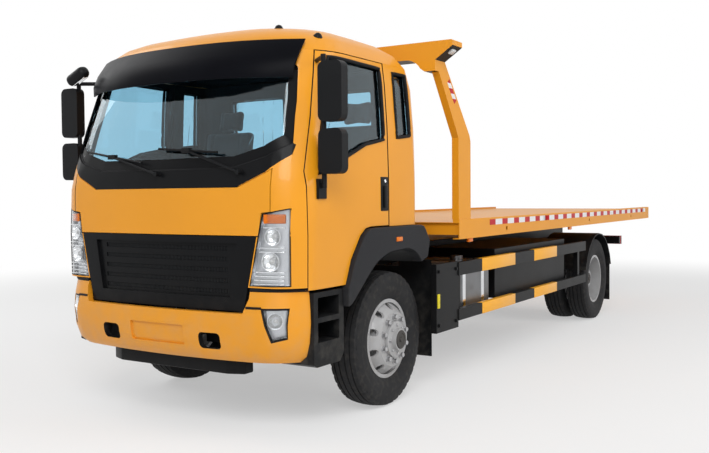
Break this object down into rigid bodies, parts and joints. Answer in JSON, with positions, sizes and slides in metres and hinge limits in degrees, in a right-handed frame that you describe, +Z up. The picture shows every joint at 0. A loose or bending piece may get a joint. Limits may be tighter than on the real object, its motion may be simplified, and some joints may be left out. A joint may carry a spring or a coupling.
{
  "type": "flatbed tow truck",
  "caption": "Cab-over recovery truck with a flat bed that slides back and tilts to the ground, a front gantry, winch, opening doors and steered front wheels.",
  "frame": {"origin": "on the ground, below the middle of the truck's length and width", "axes": "+X to the truck's left, +Y to its tail, +Z up; the cab faces -Y"},
  "size_m": [2.79, 8.93, 2.795],
  "materials": {
    "yellow_paint": "gloss body paint",
    "chassis_paint": "satin black chassis paint",
    "driveline_metal": "dull cast housings",
    "tank_aluminium": "bright drawn sheet",
    "rod_chrome": "polished rod",
    "dark_plastic": "grained black moulding",
    "grey_plastic": "grained dark grey moulding",
    "seat_fabric": "woven seat cover",
    "glass": "lightly tinted safety glass",
    "lamp_lens": "clear lamp cover over bright reflectors",
    "tail_lens": "red lamp cover",
    "tyre": "black tyre rubber",
    "rim_paint": "silver wheel paint"
  },
  "bodies": {
    "chassis": {"chassis_frame": "chassis_paint", "front_axle": "chassis_paint", "rear_axle": "chassis_paint", "leaf_springs": "chassis_paint", "driveline": "driveline_metal", "fuel_tank": "tank_aluminium", "side_boxes": "chassis_paint", "side_guards": "chassis_paint", "rear_mudguards": "dark_plastic", "rear_bar": "chassis_paint", "tail_lamps": "tail_lens", "cab_front": "yellow_paint", "cab_rear": "yellow_paint", "cab_floor": "grey_plastic", "cab_roof": "yellow_paint", "windscreen": "glass", "cab_windows": "glass", "cowl_panel": "dark_plastic", "wipers": "dark_plastic", "sun_visor": "dark_plastic", "grille": "dark_plastic", "front_lamps": "lamp_lens", "bumper": "yellow_paint", "wheel_arches": "grey_plastic", "cab_steps": "dark_plastic", "dashboard": "dark_plastic", "seats": "seat_fabric"},
    "front_flap": {"front_flap": "yellow_paint"},
    "steering_wheel": {"steering_wheel": "dark_plastic"},
    "door_left": {"door_left": "yellow_paint", "door_glass_left": "glass", "mirror_left": "dark_plastic"},
    "door_right": {"door_right": "yellow_paint", "door_glass_right": "glass", "mirror_right": "dark_plastic"},
    "knuckle_left": {"knuckle_left": "chassis_paint"},
    "knuckle_right": {"knuckle_right": "chassis_paint"},
    "tie_rod": {"tie_rod": "chassis_paint"},
    "wheel_front_left": {"tyre_front_left": "tyre", "rim_front_left": "rim_paint"},
    "wheel_front_right": {"tyre_front_right": "tyre", "rim_front_right": "rim_paint"},
    "wheel_rear_left": {"tyres_rear_left": "tyre", "rims_rear_left": "rim_paint"},
    "wheel_rear_right": {"tyres_rear_right": "tyre", "rims_rear_right": "rim_paint"},
    "tilt_frame": {"tilt_frame": "chassis_paint"},
    "lift_barrels": {"lift_barrels": "chassis_paint"},
    "lift_rods": {"lift_rods": "rod_chrome"},
    "bed": {"bed_deck": "yellow_paint", "gantry": "yellow_paint", "winch_frame": "chassis_paint"},
    "winch_drum": {"winch_drum": "chassis_paint"}
  },
  "joints": [
    {"name": "steer_left", "type": "hinge", "parent": "chassis", "child": "knuckle_left", "pos_m": [0.8, -3.1, 0.51], "axis": [0, 0, 1], "range_deg": [-35, 35]},
    {"name": "steer_right", "type": "hinge", "parent": "chassis", "child": "knuckle_right", "pos_m": [-0.8, -3.1, 0.51], "axis": [0, 0, 1], "range_deg": [-35, 35]},
    {"name": "tie_rod_pivot", "type": "hinge", "parent": "knuckle_left", "child": "tie_rod", "pos_m": [0.8, -2.89, 0.36], "axis": [0, 0, 1], "range_deg": [-35, 35]},
    {"name": "spin_front_left", "type": "hinge", "parent": "knuckle_left", "child": "wheel_front_left", "pos_m": [0.96, -3.1, 0.51], "axis": [1, 0, 0], "continuous": true},
    {"name": "spin_front_right", "type": "hinge", "parent": "knuckle_right", "child": "wheel_front_right", "pos_m": [-0.96, -3.1, 0.51], "axis": [1, 0, 0], "continuous": true},
    {"name": "spin_rear_left", "type": "hinge", "parent": "chassis", "child": "wheel_rear_left", "pos_m": [0.875, 2.1, 0.51], "axis": [1, 0, 0], "continuous": true},
    {"name": "spin_rear_right", "type": "hinge", "parent": "chassis", "child": "wheel_rear_right", "pos_m": [-0.875, 2.1, 0.51], "axis": [1, 0, 0], "continuous": true},
    {"name": "steering_wheel_turn", "type": "hinge", "parent": "chassis", "child": "steering_wheel", "pos_m": [0.47, -3.72, 1.6], "axis": [0, 0.5736, 0.8192], "range_deg": [-630, 630]},
    {"name": "door_left_hinge", "type": "hinge", "parent": "chassis", "child": "door_left", "pos_m": [1.128, -4.203, 1.6], "axis": [0, 0, -1], "range_deg": [0, 68]},
    {"name": "door_right_hinge", "type": "hinge", "parent": "chassis", "child": "door_right", "pos_m": [-1.128, -4.203, 1.6], "axis": [0, 0, 1], "range_deg": [0, 68]},
    {"name": "front_flap_hinge", "type": "hinge", "parent": "chassis", "child": "front_flap", "pos_m": [0, -4.4, 1.765], "axis": [-1, 0, 0], "range_deg": [0, 80]},
    {"name": "bed_tilt", "type": "hinge", "parent": "chassis", "child": "tilt_frame", "pos_m": [0, 3.1, 0.93], "axis": [-1, 0, 0], "range_deg": [0, 13]},
    {"name": "bed_slide", "type": "slide", "parent": "tilt_frame", "child": "bed", "axis": [0, 1, 0], "range_m": [0, 3.8]},
    {"name": "lift_barrel_pivot", "type": "hinge", "parent": "chassis", "child": "lift_barrels", "pos_m": [0, 2.292, 0.639], "axis": [-1, 0, 0], "range_deg": [-0.5, 7.5]},
    {"name": "lift_rod_slide", "type": "slide", "parent": "lift_barrels", "child": "lift_rods", "axis": [0, -0.0834, 0.9965], "range_m": [-0.005, 0.195]},
    {"name": "winch_turn", "type": "hinge", "parent": "bed", "child": "winch_drum", "pos_m": [0, -1.93, 1.55], "axis": [1, 0, 0], "continuous": true}
  ],
  "couplings": [
    {"joint": "steer_right", "follows": "steer_left", "ratio": 1},
    {"joint": "tie_rod_pivot", "follows": "steer_left", "ratio": -1},
    {"joint": "steering_wheel_turn", "follows": "steer_left", "ratio": 18},
    {"joint": "lift_barrel_pivot", "follows": "bed_tilt", "ratio": 0.50875},
    {"joint": "lift_rod_slide", "follows": "bed_tilt", "m_per_rad": 0.8186}
  ]
}
